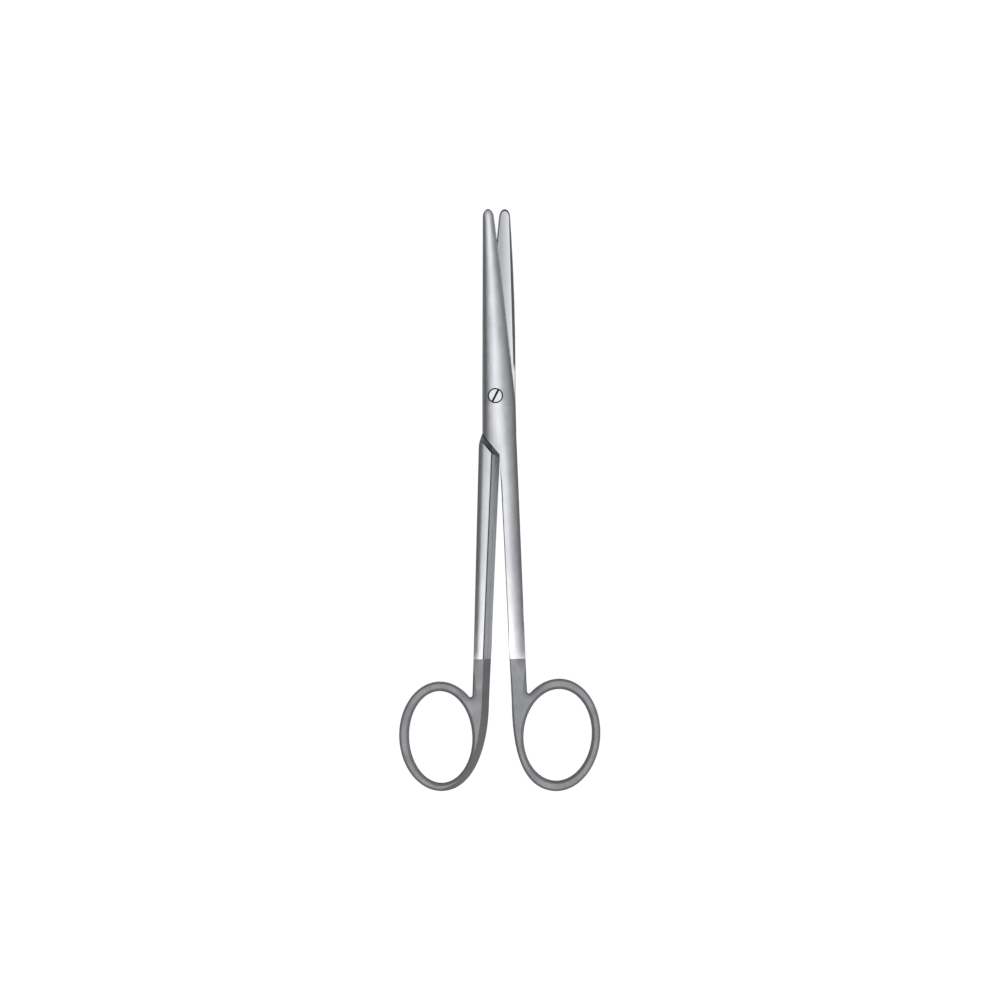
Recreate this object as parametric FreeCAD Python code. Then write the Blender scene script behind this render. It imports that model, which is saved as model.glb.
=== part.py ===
import FreeCAD, Part
import math
import os

V = FreeCAD.Vector

# Dissecting scissors, straight, with blunt tips: two forged steel halves that lap over
# each other at a slotted screw.  Lengths are in millimetres and angles in degrees.
#
# Each half is modelled in its own frame as it stands with the scissors shut: +Y runs to
# the tip, the half's blade lies above the mating plane Z = 0, its spine is at -X, and its
# cutting edge, shank and finger ring are at +X.  The lower half is the same kind of piece
# turned half a turn about Y, so that it mates with the upper one face to face.

# Blades
BLADE_LENGTH = 46.5        # screw to tip
TIP_WIDTH = 2.8
NOSE_LENGTH = 2.24         # rounded end of the blade
JOINT_WIDTH = 8.26         # across the blade level with the screw
EDGE_BOW = 0.18            # the cutting edge swells this much at its middle
HEEL = 2.3                 # the cutting edge ends this far behind the screw
HEEL_INSET = 0.13          # and this far inside the joint's full width
TIP_THICKNESS = 1.12       # one blade, just behind its nose
JOINT_THICKNESS = 2.45     # one half at the screw
BEVEL_ANGLE = 17.0         # lean of the narrow ground bevel along the cutting edge
BEVEL_END = 9.6            # the bevel stops this far ahead of the screw
HOLLOW_DEPTH = 0.09        # the inner face is hollow ground
HOLLOW_LAND = 0.55         # flat left beside each edge of the hollow
HOLLOW_END = 7.5           # the hollow stops this far ahead of the screw
HOLLOW_RUN = 8.0           # and has its full depth this far in from either end
SPINE_BREAK = 0.22         # the inner face's spine edge and nose are broken by this much
BLADE_SWELL = 0.08         # half-way along, the blade is thicker than a straight taper
BLADE_RIDGE = 0.25         # highest line there, off the middle toward the spine
JOINT_RIDGE = 0.6          # highest line level with the screw
PLATE_RIDGE = 0.5          # and where the plate is cut off

# Lap joint
MATING_GAP = 0.02          # running gap between the inner faces
PLATE_LENGTH = 9.3         # screw to where the plate's spine side is cut off aslant
PLATE_FLARE = 0.54         # the spine side stands out this much more at that corner
PLATE_BACK = 3.76          # half-width of the plate's other side at that level
NECK = 14.6                # screw to where the slanted cut meets the shank
NECK_INSET = 0.72          # shank's inner edge there, past the middle line
SHOULDER_X = 1.43          # corner of the raised shoulder
SHOULDER_Y = -14.4
SHOULDER_ANGLE = 44.5      # the shoulder's step runs off at this angle to X
STEP_DRAFT = 0.22          # lean of the step, run over rise

# Shanks
SHANK_THICKNESS = 4.1      # both faces, at mid-length
MID_SHANK = 38.0           # screw to where that thickness is
NECK_THICKNESS = 4.7       # both faces, just behind the joint
WRIST_THICKNESS = 3.94     # both faces, just above the ring
SHOULDER_END = 12.9        # screw to where the shank has its full width
THROAT = 73.0              # screw to where the ring leaves the shank
FACET_WIDTH = 2.0          # steep flat on the shank's inner side, seen from above
FACET_TURN = 1.15          # its width where the shank has joined the ring
FACET_SLOPE = 0.49         # lean of that flat, run over rise
CROWN_INSET = 0.8          # highest line of the shank, in from its inner edge
CROWN_REACH = 4.15         # half-width of the round bar that two shut shanks make
FLANK_SLOPE = 0.45         # outer faces slope off this fast toward the cutting edge
FLANK_ROUND = 0.35         # and keep only this share of their arch on that side
SHANK_BREAK = 0.3          # the shank's inner edge is broken by this much
BREAK_START = 2.0          # from this far behind the neck
BREAK_FULL = 8.0           # and in full from this far behind it
BREAK_END = 2.0            # until this far below where the arch starts to flatten
BEND_START = 3.0           # the inner edge starts to bend this far below the throat

# Finger rings
RING_THICKNESS = 4.0
RING_ROUND = 0.85          # rounding of the rings' outer rims
HOLE_ROUND = 1.1           # rounding of the finger holes' rims
NOTCH_ROUND = 0.55         # fillet between a ring and its shank
NOTCH_SOFT = 1.3           # there the rims are rounded off by this much more
NOTCH_REACH = 2.6          # and that dies out over this distance
ROUNDING_RUN = 15.0        # a shank's edges start to round this far above the throat
ARCH_RUN = 9.0             # and its arched faces start to flatten this far above it
FLAT_START = 1.4           # they are flat this far above it
FACET_FADE = 283.0         # round the ring, where the flat has run out
FACET_PAST = 6.0           # and the cut itself ends this many degrees further round
FACET_CLEAR = 0.35         # outside the rim by this much
TURN_LEAN = 0.35           # the flat leans this much more where it has reached the ring
FADE_LEAN = 0.3            # and this much more again where it runs out
CROWN_SPARE = 0.07         # the outer faces' arch reaches this much past the outline
CROWN_CLEAR = 0.2          # and has risen this much off the ring's flat face

# Screw
SCREW_OFFSET = 0.87        # off the joint's middle, toward the upper blade's spine
HEAD_DIAMETER = 3.56
HEAD_HEIGHT = 1.1
HEAD_DOME = 0.12
HEAD_CHAMFER = 0.2
HEAD_CLEARANCE = 0.1       # round the head in its counterbore
SLOT_WIDTH = 0.42
SLOT_DEPTH = 0.6
SLOT_ANGLE = 62.3          # from X, as the scissors lie
BEARING_DIAMETER = 2.6
BEARING_CLEARANCE = 0.02   # round the bearing and under the head
THREAD_DIAMETER = 2.2

# Pose at rest: angle between the two blades
OPENING = 5.25

# Upper half's own shank and ring
UPPER_BOW = 0.0            # swell of the blade's spine
UPPER_BACK = 3.70          # shank's outer edge behind the joint, off the middle line
UPPER_WRIST = 2.60         # and at the throat
UPPER_INSIDE = -1.45       # shank's inner edge at the throat
UPPER_RING_X = 9.59        # middle of the finger hole
UPPER_RING_Y = -85.14
UPPER_HOLE_WIDTH = 17.0
UPPER_HOLE_LENGTH = 22.9
UPPER_RIM_SIDE = 2.09      # wall of the ring at its side
UPPER_RIM_END = 2.51       # wall of the ring at top and bottom
UPPER_RIM_RISE = 0.0       # the rim stands this much higher than the hole
UPPER_LEAN = 7.5           # the hole's long axis leans outward going up
UPPER_TURN = 250.0         # angle round the ring where the shank has joined it
UPPER_BLEND_OUT = 10.0     # how straight the shank runs into that bend
UPPER_BLEND_IN = 6.1

# Lower half's own shank and ring
LOWER_BOW = 0.42
LOWER_BACK = 4.60
LOWER_WRIST = 4.15
LOWER_INSIDE = -0.20
LOWER_RING_X = 11.73
LOWER_RING_Y = -85.29
LOWER_HOLE_WIDTH = 15.75
LOWER_HOLE_LENGTH = 22.9
LOWER_RIM_SIDE = 2.44
LOWER_RIM_END = 2.13
LOWER_RIM_RISE = 0.18
LOWER_LEAN = 4.0
LOWER_TURN = 249.3
LOWER_BLEND_OUT = 10.2
LOWER_BLEND_IN = 5.8


class Sizes:
    """What the two halves don't share: the set of the shank and the finger ring."""

    def __init__(self, name, spine_bow, outer_top, outer_end, inner_end,
                 ring_x, ring_y, hole_width, hole_length, rim_side, rim_end, rim_rise, lean,
                 ring_turn, blend_out, blend_in):
        self.name = name
        self.spine_bow = spine_bow
        self.outer_top = outer_top
        self.outer_end = outer_end
        self.inner_end = inner_end
        self.ring_x = ring_x
        self.ring_y = ring_y
        self.hole_width = hole_width
        self.hole_length = hole_length
        self.rim_side = rim_side
        self.rim_end = rim_end
        self.rim_rise = rim_rise
        self.lean = lean
        self.ring_turn = ring_turn
        self.blend_out = blend_out
        self.blend_in = blend_in


UPPER = Sizes("upper_half", UPPER_BOW, UPPER_BACK, UPPER_WRIST, UPPER_INSIDE,
              UPPER_RING_X, UPPER_RING_Y, UPPER_HOLE_WIDTH, UPPER_HOLE_LENGTH,
              UPPER_RIM_SIDE, UPPER_RIM_END, UPPER_RIM_RISE, UPPER_LEAN,
              UPPER_TURN, UPPER_BLEND_OUT, UPPER_BLEND_IN)
LOWER = Sizes("lower_half", LOWER_BOW, LOWER_BACK, LOWER_WRIST, LOWER_INSIDE,
              LOWER_RING_X, LOWER_RING_Y, LOWER_HOLE_WIDTH, LOWER_HOLE_LENGTH,
              LOWER_RIM_SIDE, LOWER_RIM_END, LOWER_RIM_RISE, LOWER_LEAN,
              LOWER_TURN, LOWER_BLEND_OUT, LOWER_BLEND_IN)

FAR = 60.0                 # reach of the cutting tools past the metal
DEEP = 3.0                 # cutting tools reach this far above and below the mating plane
OVERRUN = 1.0              # cutting tools run past the metal by this much
TINY = 0.001               # keeps an arc from going straight
BAND_TOP = ROUNDING_RUN - THROAT    # below this level the outline is rounded toward the ring
CROWN_FULL = ARCH_RUN - THROAT      # the outer face keeps its whole arch down to here
CROWN_END = FLAT_START - THROAT     # and has run out into the ring's flat face here


def smooth(y, stations):
    """Smooth monotone curve through (y, value) stations given from the tip downward."""
    ys = [s[0] for s in stations][::-1]
    vs = [s[1] for s in stations][::-1]
    n = len(ys)
    if y <= ys[0]:
        return vs[0]
    if y >= ys[-1]:
        return vs[-1]
    step = [ys[i + 1] - ys[i] for i in range(n - 1)]
    rise = [(vs[i + 1] - vs[i]) / step[i] for i in range(n - 1)]
    slope = [rise[0]] + [0.0] * (n - 2) + [rise[-1]]
    for i in range(1, n - 1):
        if rise[i - 1] * rise[i] > 0:
            a = 2 * step[i] + step[i - 1]
            b = step[i] + 2 * step[i - 1]
            slope[i] = (a + b) / (a / rise[i - 1] + b / rise[i])
    i = max(k for k in range(n - 1) if ys[k] <= y)
    t = (y - ys[i]) / step[i]
    return ((2 * t**3 - 3 * t**2 + 1) * vs[i] + (t**3 - 2 * t**2 + t) * step[i] * slope[i]
            + (3 * t**2 - 2 * t**3) * vs[i + 1] + (t**3 - t**2) * step[i] * slope[i + 1])


def line(a, b):
    """Straight edge curve between two points in plan."""
    return Part.LineSegment(V(a[0], a[1], 0), V(b[0], b[1], 0))


def spline(points):
    """Smooth curve through points."""
    curve = Part.BSplineCurve()
    curve.interpolate([V(*p) for p in points])
    return curve


def spread(start, end, count):
    """Evenly spread numbers, both ends included."""
    return [start + (end - start) * i / (count - 1) for i in range(count)]


class Plan:
    """Outline of one half in plan, in its own frame."""

    def __init__(self, sizes):
        self.s = sizes
        self.joint = JOINT_WIDTH / 2
        self.tip = TIP_WIDTH / 2
        self.nose_y = BLADE_LENGTH - NOSE_LENGTH
        self.centre = V(sizes.ring_x, sizes.ring_y + sizes.rim_rise, 0)
        self.rim_a = sizes.hole_width / 2 + sizes.rim_side
        self.rim_b = sizes.hole_length / 2 + sizes.rim_end
        lean = math.radians(sizes.lean)
        self.across = V(math.cos(lean), -math.sin(lean), 0)
        self.along = V(math.sin(lean), math.cos(lean), 0)

    def rim(self, angle):
        """Point on the ring's rim, by angle round it from its outward side."""
        t = math.radians(angle)
        return self.centre + self.across * (self.rim_a * math.cos(t)) \
            + self.along * (self.rim_b * math.sin(t))

    def rim_way(self, angle):
        """Direction of travel along the rim at an angle."""
        t = math.radians(angle)
        way = self.across * (-self.rim_a * math.sin(t)) + self.along * (self.rim_b * math.cos(t))
        return way.normalize()

    def inner(self, y):
        """Inner edge of the shank at a level."""
        t = (y + NECK) / (NECK - THROAT)
        return -NECK_INSET + (self.s.inner_end + NECK_INSET) * t

    def outer(self, y):
        """Outer edge of the shank at a level."""
        t = (y + SHOULDER_END) / (SHOULDER_END - THROAT)
        return self.s.outer_top + (self.s.outer_end - self.s.outer_top) * t

    def spine(self, y):
        """Distance of the half's spine side from the middle line at a level."""
        if y > 0:
            t = (self.nose_y - min(y, self.nose_y)) / self.nose_y
            return self.tip + (self.joint - self.tip) * t + 4 * self.s.spine_bow * t * (1 - t)
        return self.joint + PLATE_FLARE * min(-y / PLATE_LENGTH, 1.0)

    def side(self, y):
        """Distance of the cutting edge and the shank's outer edge from the middle line."""
        heel = self.joint - HEEL_INSET
        if y > -HEEL:
            t = (self.nose_y - min(y, self.nose_y)) / (self.nose_y + HEEL)
            return self.tip + (heel - self.tip) * t + 4 * EDGE_BOW * t * (1 - t)
        if y > -PLATE_LENGTH:
            return heel + (PLATE_BACK - heel) * (-y - HEEL) / (PLATE_LENGTH - HEEL)
        if y > -SHOULDER_END:
            t = (-y - PLATE_LENGTH) / (SHOULDER_END - PLATE_LENGTH)
            swell = self.outer(-SHOULDER_END) - PLATE_BACK
            return PLATE_BACK + swell * (1.38 * t * (1 - t)**2 + 3 * t**2 * (1 - t) + t**3)
        return self.outer(y)

    def bend(self):
        """Curve that takes the shank's inner edge round into the ring's rim."""
        start_y = -THROAT - BEND_START
        start = V(self.inner(start_y), start_y, 0)
        way = V(self.inner(start_y - 1) - self.inner(start_y), -1, 0).normalize()
        end = self.rim(self.s.ring_turn)
        curve = Part.BezierCurve()
        curve.setPoles([start, start + way * self.s.blend_out,
                        end - self.rim_way(self.s.ring_turn) * self.s.blend_in, end])
        return curve

    def notch(self):
        """Angle on the rim, middle and foot of the fillet between ring and shank."""
        down = V(self.outer(-1.0) - self.outer(0.0), -1, 0).normalize()
        side = V(-down.y, down.x, 0)
        base = V(self.outer(-THROAT), -THROAT, 0)

        def off_line(angle):
            way = self.rim_way(angle)
            middle = self.rim(angle) + V(way.y, -way.x, 0) * NOTCH_ROUND
            return (middle - base).dot(side) - NOTCH_ROUND, middle

        low, high = 95.0, 175.0
        for _ in range(60):
            angle = (low + high) / 2
            if off_line(angle)[0] > 0:
                low = angle
            else:
                high = angle
        middle = off_line(angle)[1]
        return angle, middle, middle - side * NOTCH_ROUND

    def blade_and_shank(self):
        """Closed outline of the half down to the level where the band takes over."""
        corner = (-self.joint - PLATE_FLARE, -PLATE_LENGTH)
        neck = (self.inner(-NECK), -NECK)
        heel = (self.joint - HEEL_INSET, -HEEL)
        back = (PLATE_BACK, -PLATE_LENGTH)
        full = (self.outer(-SHOULDER_END), -SHOULDER_END)
        swell = full[0] - back[0]
        bulge = Part.BezierCurve()
        bulge.setPoles([V(back[0], back[1], 0),
                        V(back[0] + 0.46 * swell, back[1] - (SHOULDER_END - PLATE_LENGTH) * 0.32, 0),
                        V(full[0], full[1] + (SHOULDER_END - PLATE_LENGTH) * 0.37, 0),
                        V(full[0], full[1], 0)])
        tip_left = (-self.tip, self.nose_y)
        tip_right = (self.tip, self.nose_y)
        ellipse = Part.Ellipse(V(0, BLADE_LENGTH, 0), V(self.tip, self.nose_y, 0),
                               V(0, self.nose_y, 0))
        nose = Part.ArcOfEllipse(ellipse, -math.pi / 2, math.pi / 2)
        half_way = ((heel[0] + self.tip) / 2 + EDGE_BOW, (heel[1] + self.nose_y) / 2)
        edge = Part.Arc(V(*tip_right, 0), V(*half_way, 0), V(*heel, 0))
        at_joint = (-self.joint, 0)
        if self.s.spine_bow:
            middle = V((at_joint[0] - self.tip) / 2 - self.s.spine_bow, self.nose_y / 2, 0)
            spine = Part.Arc(V(*at_joint, 0), middle, V(*tip_left, 0))
        else:
            spine = line(at_joint, tip_left)
        low_in = (self.inner(BAND_TOP), BAND_TOP)
        low_out = (self.outer(BAND_TOP), BAND_TOP)
        curves = [nose, edge, line(heel, back), bulge, line(full, low_out), line(low_out, low_in),
                  line(low_in, neck), line(neck, corner), line(corner, at_joint), spine]
        edges = [c.toShape() for c in curves]
        return Part.Wire(Part.__sortEdges__(edges))

    def band_curves(self):
        """Curves round the ring, from the shank's inner edge to its outer edge."""
        bend = self.bend()
        angle, middle, foot = self.notch()
        start = bend.value(bend.FirstParameter)
        inner = [V(self.inner(y), y, 0) for y in spread(BAND_TOP, start.y, 5)]
        turn = [bend.value(t) for t in spread(0.0, 1.0, 9)]
        ring = [self.rim(a) for a in spread(self.s.ring_turn, 360 + angle, 33)]
        first = self.rim(angle) - middle
        last = foot - middle
        a0 = math.atan2(first.y, first.x)
        a1 = math.atan2(last.y, last.x)
        while a1 > a0:
            a1 -= 2 * math.pi
        fillet = [middle + V(math.cos(a), math.sin(a), 0) * NOTCH_ROUND for a in spread(a0, a1, 7)]
        outer = [V(self.outer(y), y, 0) for y in spread(foot.y, BAND_TOP, 5)]
        return [inner, turn, ring, fillet, outer]


class Crown:
    """Rounded outer face of a half: an arch over each level of the outline."""

    RIM = 0.985            # the outline stands at this share of the arch's reach
    RIDGE = 0.4            # share of a flank over which its slope sets in

    def __init__(self, sizes, plan):
        self.plan = plan
        mid = (JOINT_THICKNESS + TIP_THICKNESS) / 2 + BLADE_SWELL
        past = BLADE_LENGTH + 0.4 * NOSE_LENGTH
        self.height = [(past, TIP_THICKNESS * 0.05), (BLADE_LENGTH, TIP_THICKNESS * 0.38),
                       (BLADE_LENGTH - NOSE_LENGTH / 3, TIP_THICKNESS * 0.77),
                       (plan.nose_y, TIP_THICKNESS),
                       (plan.nose_y / 2, mid), (0.0, JOINT_THICKNESS),
                       (-PLATE_LENGTH, JOINT_THICKNESS), (-NECK, NECK_THICKNESS / 2),
                       (-MID_SHANK, SHANK_THICKNESS / 2), (BAND_TOP, WRIST_THICKNESS / 2),
                       (CROWN_END, RING_THICKNESS / 2 + CROWN_CLEAR)]
        shank = plan.inner(-NECK) + CROWN_INSET
        wrist = plan.inner(BAND_TOP) + CROWN_INSET
        self.ridge = [(plan.nose_y, 0.0), (plan.nose_y / 2, -BLADE_RIDGE), (0.0, -JOINT_RIDGE),
                      (-PLATE_LENGTH, -PLATE_RIDGE), (-NECK, shank), (BAND_TOP, wrist),
                      (CROWN_END, wrist)]
        self.open = [(BAND_TOP, 0.0), (CROWN_FULL, 0.15), (CROWN_END, 0.9)]
        self.arch = [(CROWN_FULL, 1.0), (CROWN_END, 0.0)]

    def reach(self, y, right):
        """Half-width of the arch to one side at a level."""
        mid = smooth(y, self.ridge)
        if right:
            near = (self.plan.side(y) - mid) / self.RIM
        else:
            blend = min(max((-y - PLATE_LENGTH) / (NECK - PLATE_LENGTH), 0.0), 1.0)
            near = (self.plan.spine(y) + mid) / self.RIM * (1 - blend) + CROWN_REACH * blend
        return (near + CROWN_SPARE) * math.exp(smooth(y, self.open))

    def over(self, share, y, right):
        """Height of the face at a share of the arch's reach to one side of the ridge."""
        top = smooth(y, self.height)
        drop = top * (1 - math.sqrt(1 - share * share))
        if right:
            lean = math.sqrt(self.RIDGE**2 + share**2) - self.RIDGE
            drop = FLANK_ROUND * drop + FLANK_SLOPE * lean * self.reach(y, True)
        return top - smooth(y, self.arch) * drop

    def at(self, x, y):
        """Height of the face over a point."""
        mid = smooth(y, self.ridge)
        right = x > mid
        return self.over(abs(x - mid) / self.reach(y, right), y, right)

    def tool(self):
        """Everything above the face."""
        before = self.plan.nose_y - NOSE_LENGTH
        levels = spread(BLADE_LENGTH + 0.4 * NOSE_LENGTH, before, 7)
        levels += spread(before, 0.0, 8)[1:]
        levels += spread(0.0, -NECK, 6)[1:]
        levels += spread(-NECK, BAND_TOP, 7)[1:]
        levels += spread(BAND_TOP, CROWN_FULL, 3)[1:]
        levels += spread(CROWN_FULL, CROWN_END, 5)[1:]
        rows = []
        for y in levels:
            mid = smooth(y, self.ridge)
            row = []
            for angle in spread(-85.0, 85.0, 15):
                share = math.sin(math.radians(angle))
                right = share > 0
                row.append(V(mid + self.reach(y, right) * share, y, self.over(abs(share), y, right)))
            rows.append(row)
        surface = Part.BSplineSurface()
        surface.interpolate(rows)
        return surface.toShape().extrude(V(0, 0, 3 * DEEP))


def closed(curves):
    """Wire from curves that follow each other."""
    return Part.Wire([c.toShape() for c in curves])


def rim_levels(rounding):
    """Levels across a ring's thickness, each with how far the rounded rim has drawn in."""
    centre = RING_THICKNESS / 2 + 0.06 * rounding - rounding
    levels = [(0.0, 0.0), (centre, 0.0)]
    for angle in spread(0.0, 70.0, 4)[1:]:
        a = math.radians(angle)
        levels.append((centre + rounding * math.sin(a), rounding * (1 - math.cos(a))))
    past = OVERRUN / 4
    levels.append((levels[-1][0] + past, levels[-1][1] + past * math.tan(math.radians(70))))
    return [(-z, d) for z, d in levels[:0:-1]] + levels


def band(plan):
    """Lower shank and finger ring without the hole, its rims rounded toward both faces."""
    levels = rim_levels(RING_ROUND)
    groups = plan.band_curves()
    throat = plan.notch()[1]
    wires = []
    for z, inset in levels:
        curves = []
        ends = []
        for group in groups:
            moved = []
            for i, p in enumerate(group):
                way = group[min(i + 1, len(group) - 1)] - group[max(i - 1, 0)]
                way.normalize()
                share = min(max((BAND_TOP - p.y) / ROUNDING_RUN, 0.0), 1.0)
                share = share * share * (3 - 2 * share)
                apart = (p - throat).Length / NOTCH_REACH
                share *= 1 + NOTCH_SOFT * math.exp(-apart * apart)
                q = p - V(way.y, -way.x, 0) * (inset * share)
                moved.append(V(q.x, q.y, z))
            ends.append(moved)
        for a, b in zip(ends, ends[1:]):
            middle = (a[-1] + b[0]) * 0.5
            a[-1] = middle
            b[0] = middle
        for moved in ends:
            curves.append(spline([tuple(p) for p in moved]))
        curves.append(Part.LineSegment(ends[-1][-1], ends[0][0]))
        wires.append(closed(curves))
    return Part.makeLoft(wires, True, False)


def hole(sizes, plan):
    """Finger hole, opening out toward both faces."""
    levels = rim_levels(HOLE_ROUND)
    wires = []
    for z, grow in levels:
        middle = V(sizes.ring_x, sizes.ring_y, z)
        a = sizes.hole_width / 2 + grow
        b = sizes.hole_length / 2 + grow
        ellipse = Part.Ellipse(middle + plan.along * b, middle + plan.across * a, middle)
        wires.append(Part.Wire([ellipse.toShape()]))
    return Part.makeLoft(wires, True, False)


def nest_tool(plan):
    """What is cut away along the half's inner side: the plate's slanted end, the steep flat
    down the shank that lets the two shanks nest when shut, and its run-out round the ring."""
    b = SHANK_THICKNESS / 2
    bend = plan.bend()
    start_y = bend.value(0).y
    way_in = V(plan.inner(start_y) - plan.inner(-NECK), start_y + NECK, 0).normalize()
    side = V(-way_in.y, way_in.x, 0)
    cut = V(plan.inner(-NECK) + plan.joint + PLATE_FLARE, PLATE_LENGTH - NECK, 0).normalize()
    cut_side = V(-cut.y, cut.x, 0)
    neck = V(plan.inner(-NECK), -NECK, 0)
    corner = V(-plan.joint - PLATE_FLARE, -PLATE_LENGTH, 0)
    wires = []
    for z in (-DEEP, DEEP):
        inset = FACET_WIDTH - FACET_SLOPE * (z + b)
        step = STEP_DRAFT * (JOINT_THICKNESS * 0.7 - z)
        p = neck + side * inset
        q = corner + cut_side * step
        run = (q - p).dot(V(-way_in.y, way_in.x, 0)) / cut.dot(V(-way_in.y, way_in.x, 0))
        meet = q - cut * run
        turn = [V(plan.inner(start_y), start_y, 0) + side * inset]
        path = [(bend.value(t), bend.tangent(t)[0], t) for t in spread(0.0, 1.0, 9)[1:]]
        for point, way, t in path:
            width = FACET_WIDTH + (FACET_TURN - FACET_WIDTH) * t * t
            lean = FACET_SLOPE + TURN_LEAN * t
            turn.append(point + V(-way.y, way.x, 0).normalize() * (width - lean * (z + b)))
        for t in spread(0.0, 1.0, 7)[1:]:
            angle = plan.s.ring_turn + (FACET_FADE + FACET_PAST - plan.s.ring_turn) * t
            way = plan.rim_way(angle)
            width = FACET_TURN * (1 - t * t) - FACET_CLEAR * t
            lean = FACET_SLOPE + TURN_LEAN + FADE_LEAN * t
            turn.append(plan.rim(angle) + V(-way.y, way.x, 0) * (width - lean * (z + b)))
        pts = [meet - cut * (1.7 * JOINT_WIDTH), meet, turn[0]]
        flat = [line(a, c) for a, c in zip(pts, pts[1:])]
        curves = flat + [spline([(v.x, v.y, 0) for v in turn])]
        tail = [turn[-1], V(turn[-1].x, -FAR * 2, 0), V(-FAR, -FAR * 2, 0),
                V(-FAR, pts[0].y, 0), pts[0]]
        curves += [line(a, c) for a, c in zip(tail, tail[1:])]
        wire = closed(curves)
        wire.translate(V(0, 0, z))
        wires.append(wire)
    return Part.makeLoft(wires, True, True)


def corner_tool(plan):
    """What is cut away below the mating plane to carry the steep flat up to the shoulder."""
    b = SHANK_THICKNESS / 2
    wires = []
    for z in (-DEEP, MATING_GAP / 2):
        inset = FACET_WIDTH - FACET_SLOPE * (z + b)
        low, high = -NECK - SHANK_THICKNESS, -NECK + 2 * SHANK_THICKNESS
        pts = [(plan.inner(low) + inset, low), (plan.inner(high) + inset, high),
               (-2 * plan.joint, high), (-2 * plan.joint, low)]
        wire = closed([line(a, c) for a, c in zip(pts, pts[1:] + pts[:1])])
        wire.translate(V(0, 0, z))
        wires.append(wire)
    return Part.makeLoft(wires, True, True)


def lap_tool():
    """What is cut away below the mating plane, up to the raised shoulder's leaning step."""
    a = math.radians(SHOULDER_ANGLE)
    along = V(math.cos(a), math.sin(a), 0)
    toward = V(-math.sin(a), math.cos(a), 0)
    corner = V(SHOULDER_X, SHOULDER_Y, 0)
    top = MATING_GAP / 2
    ridge = NECK_THICKNESS / 2

    def at(step, z):
        return corner - along * FAR + toward * step + V(0, 0, z)

    foot = STEP_DRAFT * ridge
    shape = [at(foot, top), at(2 * FAR, top), at(2 * FAR, -2 * DEEP),
             at(foot - STEP_DRAFT * (2 * DEEP + top), -2 * DEEP)]
    return Part.Face(Part.makePolygon(shape + [shape[0]])).extrude(along * (2 * FAR))


def edge_tool(plan, crown):
    """What is taken off the shank's inner edge, from behind the joint down to the ring."""
    wires = []
    for y, size in ((-NECK - BREAK_START, 0.0), (-NECK - BREAK_FULL, SHANK_BREAK),
                    (-MID_SHANK, SHANK_BREAK), (BAND_TOP, SHANK_BREAK),
                    (CROWN_FULL - BREAK_END, 0.0)):
        edge = plan.inner(y)
        top = crown.at(edge, y)
        reach = 2 * SHANK_BREAK
        pts = [V(edge + size + reach, y, top + reach), V(edge - reach, y, top - size - reach),
               V(edge - reach, y, top + reach)]
        wires.append(Part.makePolygon(pts + pts[:1]))
    return Part.makeLoft(wires, True, True)


def bevel_tool(plan):
    """What is ground off outside the cutting edge: a narrow leaning bevel."""
    heel = V(plan.joint - HEEL_INSET, -HEEL, 0)
    tip = V(plan.tip, plan.nose_y, 0)
    middle = V((heel.x + tip.x) / 2 + EDGE_BOW, (heel.y + tip.y) / 2, 0)
    circle = Part.Arc(tip, middle, heel).toShape().Curve
    radius = circle.Radius
    centre = circle.Center
    lean = math.tan(math.radians(BEVEL_ANGLE))
    low, high = -OVERRUN / 2, JOINT_THICKNESS + OVERRUN / 2
    cone = Part.makeCone(radius - low * lean, radius - high * lean, high - low,
                         V(centre.x, centre.y, low), V(0, 0, 1))
    inside = OVERRUN / 10
    block = Part.makeBox(JOINT_WIDTH, BLADE_LENGTH + OVERRUN - BEVEL_END, high - low - 2 * inside,
                         V(0, BEVEL_END, low + inside))
    return block.cut(cone)


def hollow_tool(plan):
    """What is ground away between the lands of the blade's inner face."""
    wires = []
    for y, depth in ((HOLLOW_END, 0.0), (HOLLOW_END + HOLLOW_RUN, HOLLOW_DEPTH),
                     (plan.nose_y - HOLLOW_RUN, HOLLOW_DEPTH), (plan.nose_y, 0.0)):
        half_width = plan.side(y) - HOLLOW_LAND
        land = MATING_GAP / 2 - 2 * TINY
        left, right = V(-half_width, y, land), V(half_width, y, land)
        arc = Part.Arc(left, V(0, y, land + TINY + depth), right)
        low = [right, V(half_width, y, -DEEP), V(-half_width, y, -DEEP), left]
        wires.append(Part.Wire([arc.toShape()] + [Part.makeLine(a, b) for a, b in zip(low, low[1:])]))
    return Part.makeLoft(wires, True, True)


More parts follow.
